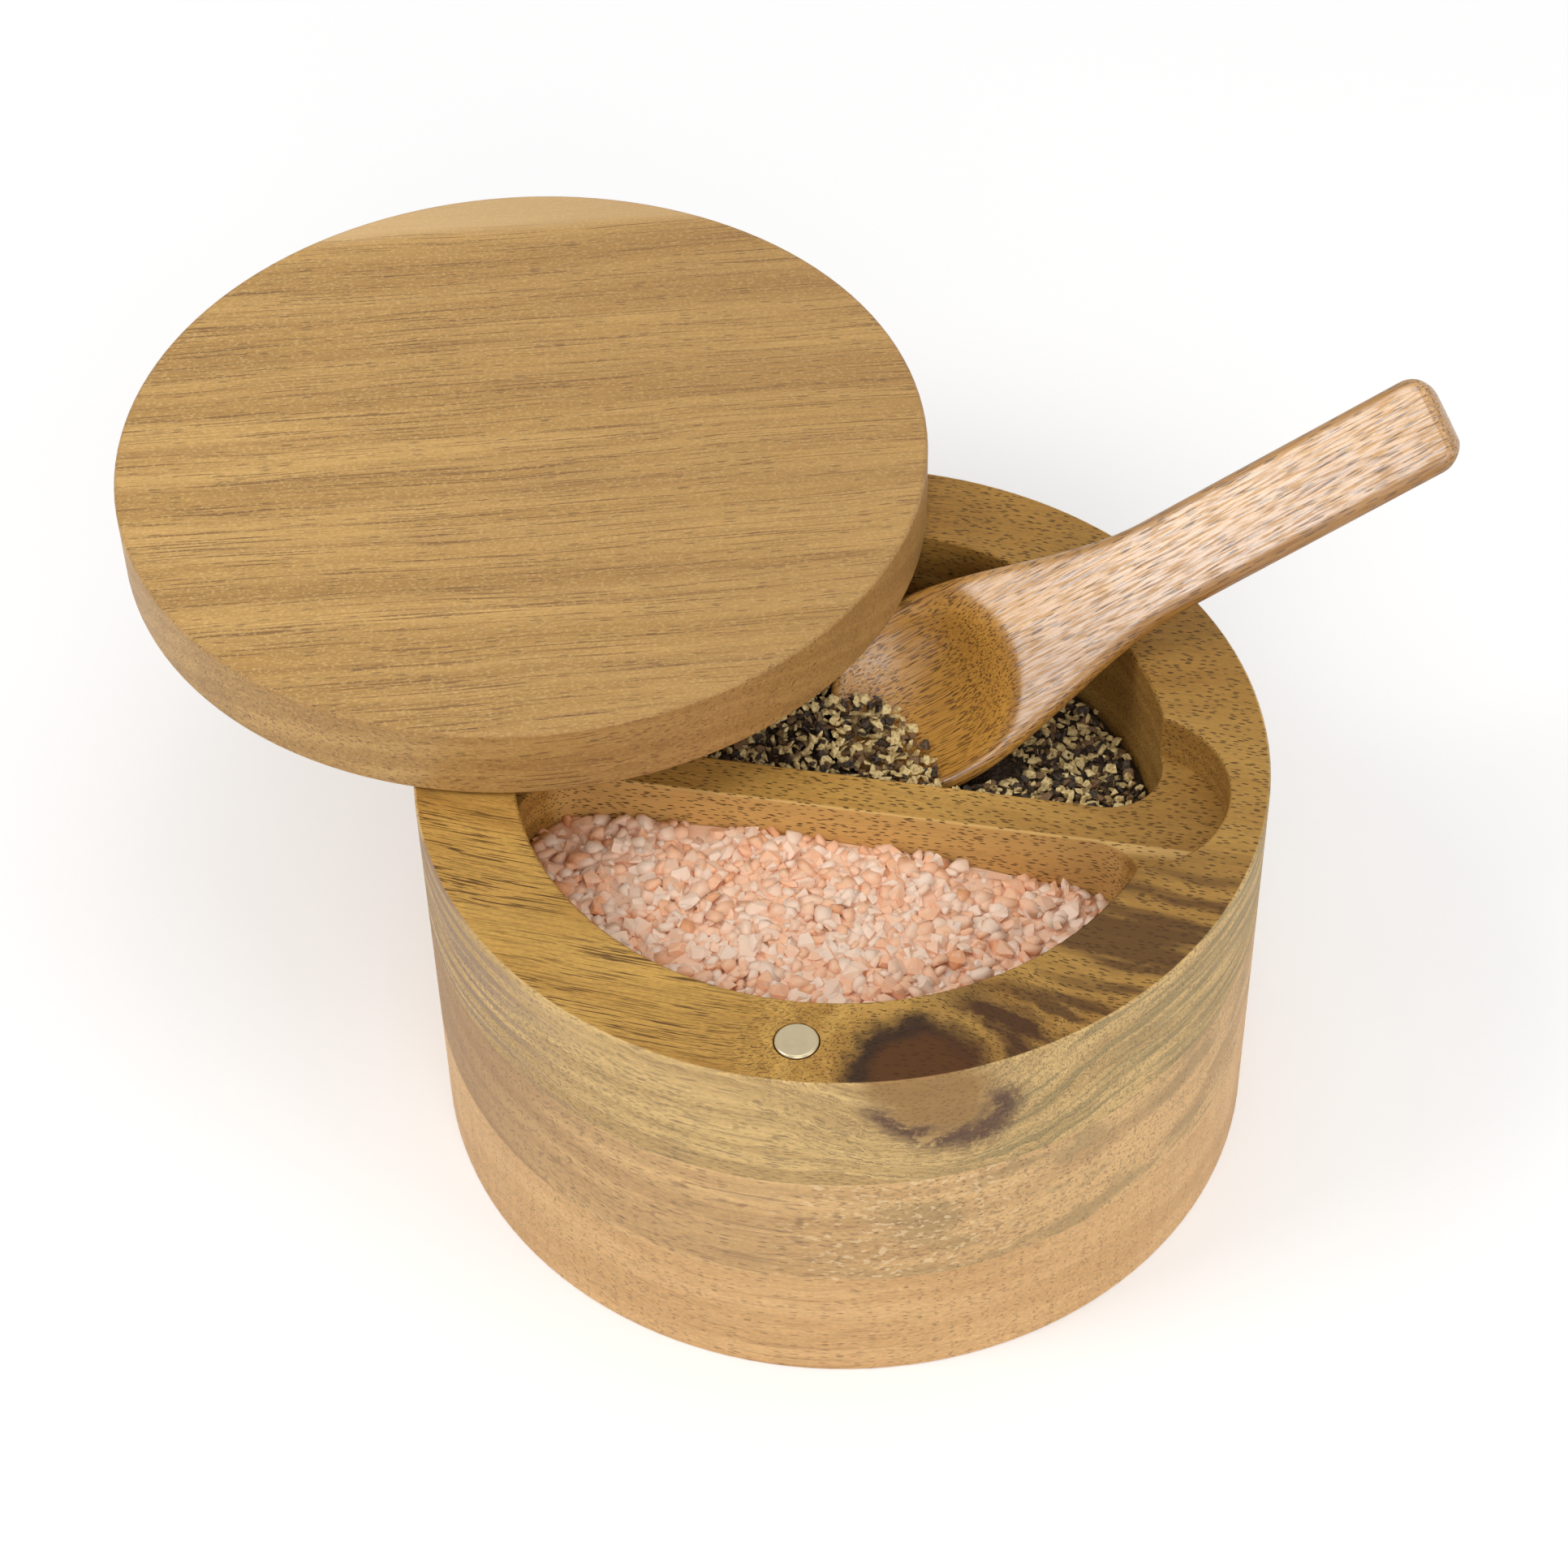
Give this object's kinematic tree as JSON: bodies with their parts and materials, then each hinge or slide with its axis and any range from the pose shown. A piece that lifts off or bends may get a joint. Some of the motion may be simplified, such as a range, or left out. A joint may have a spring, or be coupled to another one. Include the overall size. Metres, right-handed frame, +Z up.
{
  "type": "spice cellar",
  "caption": "Round wooden spice cellar with half-moon compartments either side of a divider, a swivel lid on a pin held shut by magnets, a slot for its spoon, and salt and pepper.",
  "frame": {"origin": "centre of the round face that the body stands on", "axes": "+Z up; +X along the divider, to the right seen from the magnet's side; +Y to the lid's pivot at the back"},
  "size_m": [0.1953, 0.1625, 0.1011],
  "materials": {
    "base_wood": "oiled, satin",
    "middle_wood": "oiled, satin",
    "upper_wood": "oiled, satin",
    "lid_wood": "oiled, satin",
    "spoon_wood": "lacquered, semi-gloss",
    "nickel": "nickel plate",
    "pin_steel": "ground",
    "salt": "coarse translucent crystals",
    "pepper": "cracked dry peppercorns"
  },
  "bodies": {
    "cellar": {"base_board": "base_wood", "middle_board": "middle_wood", "upper_board": "upper_wood", "body_magnet": "nickel", "pivot_pin": "pin_steel", "salt_fill": "salt", "pepper_fill": "pepper"},
    "lid": {"lid": "lid_wood", "lid_magnet": "nickel"},
    "spoon": {"spoon": "spoon_wood"}
  },
  "joints": [
    {"name": "lid_swing", "type": "hinge", "parent": "cellar", "child": "lid", "pos_m": [-0.00351, 0.05288, 0.0643], "axis": [0, 0, 1], "range_deg": [0, 82.5]},
    {"name": "spoon_draw", "type": "slide", "parent": "cellar", "child": "spoon", "axis": [0.8613, -0.1519, 0.4848], "range_m": [0, 0.12375]}
  ],
  "couplings": [
    {"joint": "spoon_draw", "follows": "lid_swing", "m_per_rad": 0.085943}
  ]
}
